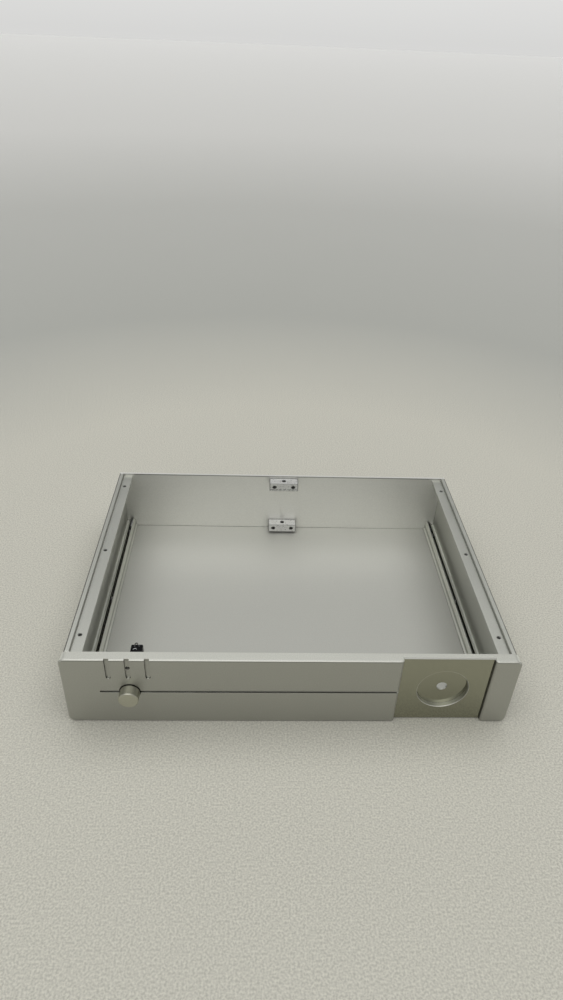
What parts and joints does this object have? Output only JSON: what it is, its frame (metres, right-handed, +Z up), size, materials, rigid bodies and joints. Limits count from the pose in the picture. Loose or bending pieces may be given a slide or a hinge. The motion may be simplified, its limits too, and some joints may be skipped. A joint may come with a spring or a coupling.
{
  "type": "amplifier chassis",
  "caption": "Low open-topped aluminium amplifier chassis: thick milled front panel with sunk knob pocket, extruded sides with screw rails, thin rear panel and flush bottom plate.",
  "frame": {"origin": "on the resting face, midway between the sides and midway between the front and rear faces", "axes": "+X to the right seen from the front, +Y to the rear, +Z up"},
  "size_m": [0.322, 0.2501, 0.064],
  "materials": {
    "satin_anodised": "bead-blasted, satin silver anodised",
    "bare_aluminium": "bare, milled",
    "zinc_steel": "zinc plated",
    "black_plastic": "moulded, black",
    "tinned_brass": "tin plated",
    "pale_plastic": "moulded, off-white"
  },
  "bodies": {
    "chassis": {"front_panel": "satin_anodised", "left_side_panel": "satin_anodised", "right_side_panel": "satin_anodised", "rear_panel": "satin_anodised", "bottom_plate": "satin_anodised", "upper_rear_block": "bare_aluminium", "lower_rear_block": "bare_aluminium", "left_front_bracket": "bare_aluminium", "right_front_bracket": "bare_aluminium", "switch_housing": "black_plastic", "switch_saddle": "zinc_steel", "switch_spacers": "zinc_steel", "switch_terminals": "tinned_brass", "bottom_plate_screws": "zinc_steel", "rear_panel_screws": "zinc_steel", "block_screws": "zinc_steel", "bracket_panel_screws": "zinc_steel", "bracket_wall_screws": "zinc_steel", "switch_screws": "zinc_steel"},
    "button": {"power_button": "satin_anodised", "switch_plunger": "pale_plastic"}
  },
  "joints": [
    {"name": "button_press", "type": "slide", "parent": "chassis", "child": "button", "axis": [0, 1, 0], "range_m": [0, 0.003], "stiffness_N_per_m": 400, "springref_m": -0.003}
  ]
}
